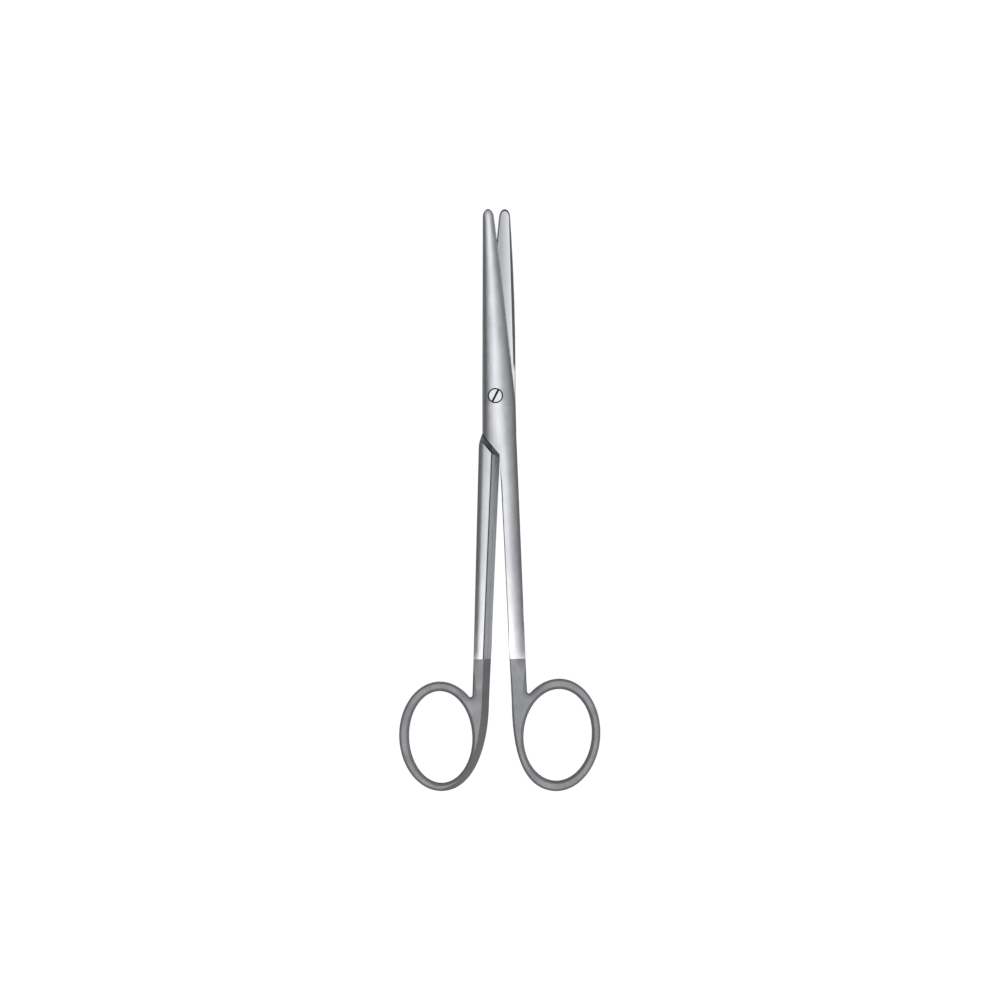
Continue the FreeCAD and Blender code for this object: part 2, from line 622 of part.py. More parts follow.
def break_tool(plan):
    """What is taken off the inner face's edge along the spine and round the nose."""
    spare = SPINE_BREAK / 2
    mating = MATING_GAP / 2
    low_y = -PLATE_LENGTH - 2 * OVERRUN
    wide = 2 * JOINT_WIDTH
    wires = []
    for z, d in ((mating - spare, SPINE_BREAK + spare), (mating + SPINE_BREAK + spare, -spare)):
        corner = V(-plan.joint - PLATE_FLARE * (2 * OVERRUN + PLATE_LENGTH) / PLATE_LENGTH + d, low_y, 0)
        joint = V(-plan.joint + d, 0, 0)
        tip = V(-plan.tip + d, plan.nose_y, 0)
        right = V(plan.tip + spare, plan.nose_y, 0)
        middle = V((joint.x + tip.x) / 2 - plan.s.spine_bow - TINY, plan.nose_y / 2, 0)
        base = V(0, plan.nose_y, 0)
        top = V(0, BLADE_LENGTH - d, 0)
        left_nose = [base + V(tip.x * math.sin(a), (top.y - base.y) * math.cos(a), 0)
                     for a in (math.radians(b) for b in spread(90.0, 0.0, 6))]
        right_nose = [base + V(right.x * math.sin(a), (top.y - base.y) * math.cos(a), 0)
                      for a in (math.radians(b) for b in spread(0.0, 90.0, 6))]
        curves = [Part.LineSegment(corner, joint), Part.Arc(joint, middle, tip),
                  spline([tuple(p) for p in left_nose]), spline([tuple(p) for p in right_nose])]
        tail = [right, V(wide, plan.nose_y, 0), V(wide, low_y, 0), corner]
        curves += [Part.LineSegment(a, b) for a, b in zip(tail, tail[1:])]
        wire = closed(curves)
        wire.translate(V(0, 0, z))
        wires.append(wire)
    core = Part.makeLoft(wires, True, True)
    slab = Part.makeBox(2.5 * JOINT_WIDTH, BLADE_LENGTH + PLATE_LENGTH + 3 * OVERRUN,
                        SPINE_BREAK + 1.8 * spare,
                        V(-JOINT_WIDTH, -PLATE_LENGTH - OVERRUN, mating - 0.9 * spare))
    return slab.cut(core)


def half(sizes):
    """One half in its own frame, before the hole for the screw."""
    plan = Plan(sizes)
    blank = Part.Face(plan.blade_and_shank()).extrude(V(0, 0, 2 * DEEP - OVERRUN))
    blank.translate(V(0, 0, OVERRUN / 2 - DEEP))
    slab = Part.makeBox(2 * FAR, FAR, RING_THICKNESS, V(-FAR, BAND_TOP - FAR, -RING_THICKNESS / 2))
    body = blank.fuse(band(plan).common(slab))
    body = body.cut(hole(sizes, plan))
    crown = Crown(sizes, plan)
    arch = crown.tool()
    body = body.cut(arch)
    body = body.cut(arch.mirror(V(0, 0, 0), V(0, 0, 1)))
    body = body.cut(lap_tool())
    body = body.cut(corner_tool(plan))
    body = body.cut(nest_tool(plan))
    body = body.cut(edge_tool(plan, crown))
    body = body.cut(bevel_tool(plan))
    body = body.cut(hollow_tool(plan))
    body = body.cut(break_tool(plan))
    return body, plan


def rest(shape, upper):
    """Turn a half from its own frame to its place in the scissors at rest."""
    placed = shape.copy()
    if not upper:
        placed.rotate(V(0, 0, 0), V(0, 1, 0), 180)
    placed.rotate(V(-SCREW_OFFSET, 0, 0), V(0, 0, 1), OPENING / 2 if upper else -OPENING / 2)
    return placed


def screw(head_top, end_depth):
    """Shoulder screw, its axis at the origin and the mating plane at Z = 0."""
    head_low = head_top - HEAD_HEIGHT
    radius = HEAD_DIAMETER / 2
    bearing = BEARING_DIAMETER / 2
    thread = THREAD_DIAMETER / 2
    top_rim = head_top - HEAD_DOME
    profile = [V(0, 0, -end_depth), V(thread, 0, -end_depth), V(thread, 0, -MATING_GAP / 2),
               V(bearing, 0, -MATING_GAP / 2), V(bearing, 0, head_low), V(radius, 0, head_low),
               V(radius, 0, top_rim - HEAD_CHAMFER), V(radius - HEAD_CHAMFER, 0, top_rim)]
    edges = [Part.makeLine(a, b) for a, b in zip(profile, profile[1:])]
    top = V(0, 0, head_top)
    rim = profile[-1]
    sag = head_top - rim.z
    sphere = (rim.x**2 + sag**2) / (2 * sag)
    half_x = rim.x / 2
    middle = V(half_x, 0, head_top - sphere + math.sqrt(sphere**2 - half_x**2))
    edges.append(Part.Arc(rim, middle, top).toShape())
    edges.append(Part.makeLine(top, profile[0]))
    solid = Part.Face(Part.Wire(edges)).revolve(V(0, 0, 0), V(0, 0, 1), 360)
    slot = Part.makeBox(2 * HEAD_DIAMETER, SLOT_WIDTH, HEAD_HEIGHT,
                        V(-HEAD_DIAMETER, -SLOT_WIDTH / 2, head_top - SLOT_DEPTH))
    slot.rotate(V(0, 0, 0), V(0, 0, 1), SLOT_ANGLE)
    return solid.cut(slot)


def build():
    """Make the three pieces at rest, with the box's bottom centre at the origin."""
    os.makedirs("parts", exist_ok=True)
    upper, upper_plan = half(UPPER)
    lower, lower_plan = half(LOWER)

    # The head lies in the upper half's counterbore, level with the metal round it.
    head_top = Crown(UPPER, upper_plan).at(-SCREW_OFFSET - HEAD_DIAMETER / 4, 0.0)
    floor = head_top - HEAD_HEIGHT - BEARING_CLEARANCE
    axis = V(-SCREW_OFFSET, 0, 0)
    bore = Part.makeCylinder(BEARING_DIAMETER / 2 + BEARING_CLEARANCE, 2 * DEEP,
                             axis - V(0, 0, DEEP))
    counter = Part.makeCylinder(HEAD_DIAMETER / 2 + HEAD_CLEARANCE, DEEP, axis + V(0, 0, floor))
    upper = upper.cut(bore).cut(counter)

    # The screw's end is threaded into the lower half and filed level with its outer face.
    tapped = Part.makeCylinder(THREAD_DIAMETER / 2, 2 * DEEP, V(SCREW_OFFSET, 0, -DEEP))
    lower = lower.cut(tapped)
    pivot = screw(head_top, DEEP)
    pivot.translate(axis)
    pivot = pivot.cut(rest(Crown(LOWER, lower_plan).tool(), False))

    pieces = {"upper_half": rest(upper, True), "lower_half": rest(lower, False),
              "pivot_screw": pivot}
    whole = Part.makeCompound(list(pieces.values()))
    box = whole.optimalBoundingBox(False, False)
    shift = V(-(box.XMin + box.XMax) / 2, -(box.YMin + box.YMax) / 2, -box.ZMin)
    for name, shape in pieces.items():
        shape.translate(shift)
        solids = shape.Solids
        if len(solids) == 1:
            shape = solids[0]
        shape.exportStep("parts/%s.step" % name)
        print(name, len(solids), "valid", shape.isValid(), "volume", round(shape.Volume, 2),
              "faces", len(shape.Faces))
    print("screw axis", [round(v, 4) for v in (axis + shift)])
    print("box", [round(v, 3) for v in (box.XLength, box.YLength, box.ZLength)])
    print("head top", round(head_top, 3), "counterbore floor", round(floor, 3))


build()
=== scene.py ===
"""Dissecting scissors with blunt tips, lying flat on a pale table.

Two satin steel halves lap over each other at a slotted screw.  Their lower shanks and
finger rings carry a matte grey nitride coat.  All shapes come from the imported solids; this
script gives them their finishes, the table, the studio light and the camera.
"""

import logging
import math
from dataclasses import dataclass, field
from enum import Enum
from typing import Protocol

import bpy
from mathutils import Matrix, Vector


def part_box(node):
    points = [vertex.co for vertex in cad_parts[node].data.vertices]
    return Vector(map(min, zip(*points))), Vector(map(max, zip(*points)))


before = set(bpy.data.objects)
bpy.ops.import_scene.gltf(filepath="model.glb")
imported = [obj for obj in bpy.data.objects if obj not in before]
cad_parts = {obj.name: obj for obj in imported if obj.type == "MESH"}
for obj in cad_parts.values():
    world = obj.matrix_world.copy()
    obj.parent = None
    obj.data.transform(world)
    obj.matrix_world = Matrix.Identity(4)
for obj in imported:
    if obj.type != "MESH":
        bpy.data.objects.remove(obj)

LOG = logging.getLogger("scissors")
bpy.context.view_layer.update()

Socket = bpy.types.NodeSocket
Tree = bpy.types.NodeTree

# Where the photograph's frame lies on the scissors, in millimetres.
FRAME_WIDTH = 248.8  # across the picture, at the height of the mating plane
FRAME_CENTRE = (0.84, 0.07)  # what the middle of the picture looks at
FRAME_ROLL = 0.775  # degrees that the scissors lean to the left
MATING_HEIGHT = 2.4536  # of the plane where the halves meet, above the table

# How a finish is shaded by its marks and its cloudy patches.
MARK_SHARE = 0.6  # how much the marks count beside the patches
SHADE_SPAN = (0.5, 1.1)  # where the two together go from the light to the dark colour
WAVER_GRAIN = 1.4  # mm, size of the waves in a wandering edge
CRISP = 0.01  # mm over which a crisp edge fades
STEEP_WAY = (0.898, 0.0, 0.44)  # outward from the shank's steep flat, as it lies
WHITE = (1.0, 1.0, 1.0, 1.0)


def mm(value: float) -> float:
    """Turn millimetres into Blender's metres."""
    return value / 1000.0


def linear(code: str) -> tuple[float, float, float, float]:
    """Turn an sRGB hex colour into linear light.

    Args:
        code: Colour as six hex digits, such as "C9CBCE".

    Returns:
        Red, green, blue and an opaque alpha.
    """
    parts = [int(code[i:i + 2], 16) / 255.0 for i in (0, 2, 4)]
    red, green, blue = (p / 12.92 if p <= 0.04045 else ((p + 0.055) / 1.055) ** 2.4 for p in parts)
    return red, green, blue, 1.0


def add(
    tree: Tree,
    kind: str,
    inputs: dict[str | int, object] | None = None,
    **settings: object,
) -> bpy.types.Node:
    """Add a shader node with its settings, values and links.

    Args:
        tree: Node tree to add to.
        kind: Type name of the node.
        inputs: Socket name or number to a value or to another node's output.
        settings: Attributes of the node itself.

    Returns:
        The new node.
    """
    node = tree.nodes.new(kind)
    for name, value in settings.items():
        setattr(node, name, value)
    for key, value in (inputs or {}).items():
        socket = node.inputs[key]
        if isinstance(value, Socket):
            tree.links.new(value, socket)
        else:
            socket.default_value = value
    return node


class Side(Enum):
    """Which side of a level a finish lies on."""

    BELOW = -1.0
    ABOVE = 1.0


class Axis(Enum):
    """Direction along which a level is measured."""

    X = "X"
    Y = "Y"
    Z = "Z"


@dataclass(frozen=True)
class Relief:
    """Colour, roughness and height sockets that a finish hands to its shader."""

    colour: Socket
    roughness: Socket
    height: Socket

    def under(self, tree: Tree, top: "Relief", mask: Socket) -> "Relief":
        """Lay another finish over this one where a mask says so.

        Args:
            tree: Node tree of the material.
            top: The finish on top.
            mask: 1 where the top one shows, 0 where this one does.

        Returns:
            The two together.
        """
        return Relief(
            add(
                tree, "ShaderNodeMix", {0: mask, 6: self.colour, 7: top.colour}, data_type="RGBA"
            ).outputs[2],
            add(tree, "ShaderNodeMix", {0: mask, 2: self.roughness, 3: top.roughness}).outputs[0],
            add(tree, "ShaderNodeMix", {0: mask, 2: self.height, 3: top.height}).outputs[0],
        )


class Finish(Protocol):
    """Anything that can describe a surface."""

    def relief(self, tree: Tree, place: Socket) -> Relief:
        """Build the finish's sockets for a position on the piece, in metres.

        Args:
            tree: Node tree of the material.
            place: Position on the piece, in metres.

        Returns:
            The finish's sockets.
        """


class Region(Protocol):
    """Anything that can say where a finish lies."""

    def mask(self, tree: Tree, place: Socket) -> Socket:
        """Build a socket that is 1 inside the region and 0 outside it.

        Args:
            tree: Node tree of the material.
            place: Position on the piece, in metres.

        Returns:
            The mask.
        """


class Form(Protocol):
    """A shallow form that is too slight for the solid."""

    def height(self, tree: Tree, place: Socket) -> Socket:
        """Build the form's height in metres.

        Args:
            tree: Node tree of the material.
            place: Position on the piece, in metres.

        Returns:
            The height.
        """


@dataclass(frozen=True)
class Marks:
    """Fine marks that a tool leaves, longer in one direction, with cloudy patches over them."""

    across: float  # mm from one mark to the next
    along: float  # mm that a mark runs
    patch: float  # mm across the patches
    depth: float  # mm

    def sockets(self, tree: Tree, place: Socket) -> tuple[Socket, Socket, Socket]:
        """Build the marks.

        Args:
            tree: Node tree of the material.
            place: Position on the piece, in metres.

        Returns:
            Marks from 0 to 1, patches from 0 to 1, and the marks' height in metres.
        """
        scale = (1.0 / mm(self.across), 1.0 / mm(self.along), 1.0 / mm(self.across))
        stretched = add(tree, "ShaderNodeMapping", {"Vector": place, "Scale": scale})
        lines = add(
            tree, "ShaderNodeTexNoise",
            {"Vector": stretched.outputs["Vector"], "Scale": 1.0, "Detail": 3.0, "Roughness": 0.6},
        ).outputs["Fac"]
        patches = add(
            tree, "ShaderNodeTexNoise",
            {"Vector": place, "Scale": 1.0 / mm(self.patch), "Detail": 4.0, "Roughness": 0.55},
        ).outputs["Fac"]
        height = add(
            tree, "ShaderNodeMath", {0: lines, 1: mm(self.depth)}, operation="MULTIPLY"
        ).outputs[0]
        return lines, patches, height


def shaded(
    tree: Tree,
    marks: Socket,
    patches: Socket,
    light: str,
    dark: str,
    roughness: float,
    spread: float,
) -> tuple[Socket, Socket]:
    """Vary a finish's colour and roughness with its marks and patches.

    Args:
        tree: Node tree of the material.
        marks: Fine marks, 0 to 1.
        patches: Cloudy patches, 0 to 1.
        light: Lightest colour.
        dark: Darkest colour.
        roughness: Middle of the roughness.
        spread: Whole span of the roughness.

    Returns:
        Colour and roughness sockets.
    """
    mixed = add(
        tree, "ShaderNodeMath", {0: marks, 1: MARK_SHARE, 2: patches}, operation="MULTIPLY_ADD"
    ).outputs[0]
    share = add(
        tree, "ShaderNodeMapRange",
        {"Value": mixed, "From Min": SHADE_SPAN[0], "From Max": SHADE_SPAN[1]},
    ).outputs["Result"]
    colour = add(
        tree, "ShaderNodeMix", {0: share, 6: linear(light), 7: linear(dark)}, data_type="RGBA"
    ).outputs[2]
    rough = add(
        tree, "ShaderNodeMapRange",
        {"Value": share, "To Min": roughness - spread / 2, "To Max": roughness + spread / 2},
    ).outputs["Result"]
    return colour, rough


@dataclass(frozen=True)
class SatinSteel:
    """Martensitic stainless steel, ground along its length and satin finished.

    To the eye: a bright, cool, slightly cloudy metal whose highlight is drawn into one
    soft band along each piece, with faint lengthwise grinding lines in it.
    """

    light: str = "CFD1D4"
    dark: str = "BFC1C5"
    roughness: float = 0.27
    spread: float = 0.08
    # Real grinding lines of 0.05 mm would not show at this size.
    marks: Marks = Marks(across=0.22, along=7.0, patch=9.0, depth=0.0011)

    def relief(self, tree: Tree, place: Socket) -> Relief:
        """Build the steel's colour, roughness and grinding lines.

        Args:
            tree: Node tree of the material.
            place: Position on the piece, in metres.

        Returns:
            The finish's sockets.
        """
        lines, patches, height = self.marks.sockets(tree, place)
        colour, rough = shaded(
            tree, lines, patches, self.light, self.dark, self.roughness, self.spread
        )
        return Relief(colour, rough, height)


@dataclass(frozen=True)
class PaintedHighlightSteel(SatinSteel):
    """The same steel on the lower shanks, painted paler toward the coat as a highlight.

    To the eye: the satin metal again, but nearly white toward the coat.
    """

    # painted highlight: nearly white steel toward the coat
    light: str = "EFF0F2"
    dark: str = "E3E4E7"


@dataclass(frozen=True)
class HollowGroundPaintedShade:
    """The blades' inner faces, hollow ground on the rim of a fine wheel.

    To the eye: a flat, pale face, almost white beside the spine, with painted shade that
    greys it toward the cutting edge, and fine marks straight across it.
    """

    spine: str = "CDCFD2"
    # painted shade toward the cutting edge
    edge: str = "949699"
    spine_x: float = 4.9  # mm, where it is as pale as beside the spine
    edge_x: float = 1.9  # mm, where the painted shade is as grey as at the cutting edge
    wander: float = 0.5  # mm that the shade moves sideways from mark to mark
    roughness: float = 0.24
    spread: float = 0.08
    # Real wheel marks of 0.04 mm would not show at this size.
    marks: Marks = Marks(across=2.4, along=0.2, patch=3.0, depth=0.0008)

    def relief(self, tree: Tree, place: Socket) -> Relief:
        """Build the face's colour with its painted shade, its roughness and wheel marks.

        Args:
            tree: Node tree of the material.
            place: Position on the piece, in metres.

        Returns:
            The finish's sockets.
        """
        lines, patches, height = self.marks.sockets(tree, place)
        at_x = add(tree, "ShaderNodeSeparateXYZ", {"Vector": place}).outputs["X"]
        moved = add(
            tree, "ShaderNodeMath", {0: lines, 1: mm(self.wander), 2: at_x},
            operation="MULTIPLY_ADD",
        ).outputs[0]
        centre = self.wander / 2
        # Painted shade: the colour greys from the spine toward the cutting edge.
        share = add(
            tree, "ShaderNodeMapRange",
            {"Value": moved, "From Min": mm(self.edge_x + centre),
             "From Max": mm(self.spine_x + centre)},
        ).outputs["Result"]
        colour = add(
            tree, "ShaderNodeMix", {0: share, 6: linear(self.edge), 7: linear(self.spine)},
            data_type="RGBA",
        ).outputs[2]
        rough = add(
            tree, "ShaderNodeMapRange",
            {"Value": patches, "To Min": self.roughness - self.spread / 2,
             "To Max": self.roughness + self.spread / 2},
        ).outputs["Result"]
        return Relief(colour, rough, height)


@dataclass(frozen=True)
class BeltGroundPaintedLight(SatinSteel):
    """The shanks' steep flats, ground on a coarse belt, left unpolished and painted paler as light.

    To the eye: an even mid-grey flat with no highlight, between two crisp edges.
    """

    # painted light: paler than the satin steel, to lift the steep flat out of its shade
    light: str = "F4F5F6"
    dark: str = "E6E8EA"
    roughness: float = 0.85
    spread: float = 0.1
    # Real belt lines of 0.08 mm would not show at this size.
    marks: Marks = Marks(across=0.3, along=9.0, patch=6.0, depth=0.002)


@dataclass(frozen=True)
class PaintedShadeSteel:
    """Steel of the lap joint, painted dark as the shade between the halves.

    To the eye: a dull dark grey, with no shine and faint cutter marks.
    """

    # painted shade: dull dark grey where the lap lies in shade
    light: str = "6F7074"
    dark: str = "57585C"
    roughness: float = 0.5
    spread: float = 0.14
    # Real cutter marks of 0.1 mm would not show at this size.
    marks: Marks = Marks(across=1.6, along=0.25, patch=1.5, depth=0.002)

    def relief(self, tree: Tree, place: Socket) -> Relief:
        """Build the painted shade's colour, roughness and cutter marks.

        Args:
            tree: Node tree of the material.
            place: Position on the piece, in metres.

        Returns:
            The finish's sockets.
        """
        lines, patches, height = self.marks.sockets(tree, place)
        colour, rough = shaded(
            tree, lines, patches, self.light, self.dark, self.roughness, self.spread
        )
        return Relief(colour, rough, height)


@dataclass(frozen=True)
class DeepPaintedShade(PaintedShadeSteel):
    """The screw's slot, its chamfer and the wall of its seat, painted near black as shade.

    To the eye: thin, almost black lines that draw the screw.
    """

    # painted shade: near black
    light: str = "34353A"
    dark: str = "26272A"


@dataclass(frozen=True)
class PaintedEdgeShade(PaintedShadeSteel):
    """A narrow line of painted shade all round a blade's inner face, and beside the steep flat.

    To the eye: a thin grey outline.
    """

    # painted shade: a thin grey outline
    light: str = "5E6064"
    dark: str = "505256"


@dataclass(frozen=True)
class NitrideCoat:
    """Grey metal nitride coat, laid from vapour over a grit-blasted surface.

    To the eye: a dull mid-grey that still shades as metal does, lighter on top and dark
    at the edges, with a dry, faintly grainy face and no sharp highlight.
    """

    light: str = "B1B2B5"
    dark: str = "A1A2A5"
    roughness: float = 0.64
    spread: float = 0.12
    # Real blasting pits of 0.1 mm would not show at this size.
    marks: Marks = Marks(across=0.24, along=0.24, patch=5.0, depth=0.006)

    def relief(self, tree: Tree, place: Socket) -> Relief:
        """Build the coat's colour, roughness and grit.

        Args:
            tree: Node tree of the material.
            place: Position on the piece, in metres.

        Returns:
            The finish's sockets.
        """
        grit, patches, height = self.marks.sockets(tree, place)
        colour, rough = shaded(
            tree, grit, patches, self.light, self.dark, self.roughness, self.spread
        )
        return Relief(colour, rough, height)


@dataclass(frozen=True)
class RoughCoatPaintedLight(NitrideCoat):
    """The same coat over the belt-ground steep flat, which keeps it rougher, and painted paler as
    light.

    To the eye: drier and more even than the rest, so the steep side is one flat dark grey.
    """

    # painted light: paler than the rest of the coat
    light: str = "BCBDC0"
    dark: str = "ACADB0"
    roughness: float = 0.85


@dataclass(frozen=True)
class TurnedSteel:
    """Austenitic stainless steel, turned on a lathe and polished.

    To the eye: a small, clean, brighter disc with the faintest rings round its middle.
    """

    middle: tuple[float, float]  # m, middle of the turning rings
    light: str = "D2D3D6"
    dark: str = "BDBFC2"
    roughness: float = 0.22
    spread: float = 0.1
    patch: float = 1.1  # mm across its cloudy patches
    ring: float = 0.26  # mm between turning rings; real ones of 0.05 mm would not show
    ring_height: float = 0.0012  # mm

    def relief(self, tree: Tree, place: Socket) -> Relief:
        """Build the polished steel's colour, roughness and turning rings.

        Args:
            tree: Node tree of the material.
            place: Position on the piece, in metres.

        Returns:
            The finish's sockets.
        """
        offset = (-self.middle[0], -self.middle[1], 0.0)
        centred = add(
            tree, "ShaderNodeMapping", {"Vector": place, "Location": offset}
        ).outputs["Vector"]
        rings = add(
            tree, "ShaderNodeTexWave",
            {"Vector": centred, "Scale": math.pi / (10.0 * mm(self.ring)), "Distortion": 0.6,
             "Detail": 2.0},
            wave_type="RINGS", rings_direction="Z",
        ).outputs["Fac"]
        patches = add(
            tree, "ShaderNodeTexNoise",
            {"Vector": place, "Scale": 1.0 / mm(self.patch), "Detail": 3.0},
        ).outputs["Fac"]
        colour, rough = shaded(
            tree, rings, patches, self.light, self.dark, self.roughness, self.spread
        )
        height = add(
            tree, "ShaderNodeMath", {0: rings, 1: mm(self.ring_height)}, operation="MULTIPLY"
        ).outputs[0]
        return Relief(colour, rough, height)


@dataclass(frozen=True)
class Level:
    """Everything on one side of a level, with a soft and slightly wandering edge."""

    axis: Axis
    value: float  # mm
    side: Side
    edge: float = 0.04  # mm over which it fades
    waver: float = 0.0  # mm that it wanders

    def mask(self, tree: Tree, place: Socket) -> Socket:
        """Build the level's mask.

        Args:
            tree: Node tree of the material.
            place: Position on the piece, in metres.

        Returns:
            1 on the level's side, 0 on the other.
        """
        at = add(tree, "ShaderNodeSeparateXYZ", {"Vector": place}).outputs[self.axis.value]
        if self.waver:
            wander = add(
                tree, "ShaderNodeTexNoise",
                {"Vector": place, "Scale": 1.0 / mm(WAVER_GRAIN), "Detail": 2.0},
            ).outputs["Fac"]
            centred = add(
                tree, "ShaderNodeMath", {0: wander, 1: 0.5}, operation="SUBTRACT"
            ).outputs[0]
            at = add(
                tree, "ShaderNodeMath", {0: centred, 1: mm(self.waver), 2: at},
                operation="MULTIPLY_ADD",
            ).outputs[0]
        reach = mm(self.edge) / 2 * self.side.value
        return add(
            tree, "ShaderNodeMapRange",
            {"Value": at, "From Min": mm(self.value) - reach, "From Max": mm(self.value) + reach},
        ).outputs["Result"]


@dataclass(frozen=True)
class Round:
    """Everything within a radius of an upright axis."""

    middle: tuple[float, float]  # m
    radius: float  # mm

    def mask(self, tree: Tree, place: Socket) -> Socket:
        """Build the round region's mask.

        Args:
            tree: Node tree of the material.
            place: Position on the piece, in metres.

        Returns:
            1 within the radius, 0 beyond it.
        """
        flat = add(
            tree, "ShaderNodeVectorMath", {0: place, 1: (1.0, 1.0, 0.0)}, operation="MULTIPLY"
        ).outputs["Vector"]
        apart = add(
            tree, "ShaderNodeVectorMath", {0: flat, 1: (*self.middle, 0.0)}, operation="DISTANCE"
        ).outputs["Value"]
        return add(
            tree, "ShaderNodeMath", {0: apart, 1: mm(self.radius)}, operation="LESS_THAN"
        ).outputs[0]


@dataclass(frozen=True)
class Facing:
    """Everything that faces one way, or straight away from it."""

    way: tuple[float, float, float]  # unit vector
    cosine: float  # of the widest angle that still counts
    fade: float = 0.02  # cosine over which it comes in

    def mask(self, tree: Tree, place: Socket) -> Socket:
        """Build the mask of the faces that look that way.

        Args:
            tree: Node tree of the material.
            place: Not used; the faces are found by their normals.

        Returns:
            1 on those faces, 0 on the others.
        """
        normal = add(tree, "ShaderNodeTexCoord").outputs["Normal"]
        share = add(
            tree, "ShaderNodeVectorMath", {0: normal, 1: self.way}, operation="DOT_PRODUCT"
        ).outputs["Value"]
        either = add(tree, "ShaderNodeMath", {0: share}, operation="ABSOLUTE").outputs[0]
        return add(
            tree, "ShaderNodeMapRange",
            {"Value": either, "From Min": self.cosine, "From Max": self.cosine + self.fade},
        ).outputs["Result"]


@dataclass(frozen=True)
class BladeRim:
    """A narrow strip along the outline of a blade, round its nose too."""

    pivot: tuple[float, float]  # m
    turn: float  # degrees that the blade is turned from straight ahead
    width: float = 0.32  # mm
    joint_half: float = 4.13  # mm, half the blade's width at the screw
    tip_half: float = 1.4  # mm, and where the nose starts
    nose_start: float = 44.26  # mm from the screw
    nose_length: float = 2.24  # mm
    middle: float = 0.87  # mm that the blade's middle line passes beside the screw

    def mask(self, tree: Tree, place: Socket) -> Socket:
        """Build the strip's mask.

        Args:
            tree: Node tree of the material.
            place: Position on the piece, in metres.

        Returns:
            1 in the strip, 0 beside it.
        """
        own = add(
            tree, "ShaderNodeVectorRotate",
            {"Vector": place, "Center": (*self.pivot, 0.0), "Angle": math.radians(-self.turn)},
            rotation_type="Z_AXIS",
        ).outputs["Vector"]
        offset = (self.pivot[0] + mm(self.middle), self.pivot[1], 0.0)
        moved = add(
            tree, "ShaderNodeVectorMath", {0: own, 1: offset}, operation="SUBTRACT"
        ).outputs["Vector"]
        parts = add(tree, "ShaderNodeSeparateXYZ", {"Vector": moved}).outputs
        half = add(
            tree, "ShaderNodeMapRange",
            {"Value": parts["Y"], "From Min": 0.0, "From Max": mm(self.nose_start),
             "To Min": mm(self.joint_half), "To Max": mm(self.tip_half)},
        ).outputs["Result"]
        across = add(
            tree, "ShaderNodeMath", {0: parts["X"], 1: half}, operation="DIVIDE"
        ).outputs[0]
        past = add(
            tree, "ShaderNodeMapRange",
            {"Value": parts["Y"], "From Min": mm(self.nose_start),
             "From Max": mm(self.nose_start + self.nose_length)},
        ).outputs["Result"]
        square = add(tree, "ShaderNodeMath", {0: past, 1: past}, operation="MULTIPLY").outputs[0]
        both = add(
            tree, "ShaderNodeMath", {0: across, 1: across, 2: square}, operation="MULTIPLY_ADD"
        ).outputs[0]
        out = add(tree, "ShaderNodeMath", {0: both}, operation="SQRT").outputs[0]
        left = add(tree, "ShaderNodeMath", {0: 1.0, 1: out}, operation="SUBTRACT").outputs[0]
        inside = add(tree, "ShaderNodeMath", {0: left, 1: half}, operation="MULTIPLY").outputs[0]
        return add(
            tree, "ShaderNodeMath", {0: inside, 1: mm(self.width)}, operation="LESS_THAN"
        ).outputs[0]


@dataclass(frozen=True)
class LongLine:
    """A narrow line along the scissors, x = at + slope * y in millimetres."""

    at: float
    slope: float
    width: float  # mm

    def mask(self, tree: Tree, place: Socket) -> Socket:
        """Build the line's mask.

        Args:
            tree: Node tree of the material.
            place: Position on the piece, in metres.

        Returns:
            1 on the line, 0 beside it.
        """
        aside = add(
            tree, "ShaderNodeVectorMath", {0: place, 1: (1.0, -self.slope, 0.0)},
            operation="DOT_PRODUCT",
        ).outputs["Value"]
        return add(
            tree, "ShaderNodeMath", {0: aside, 1: mm(self.at), 2: mm(self.width) / 2},
            operation="COMPARE",
        ).outputs[0]


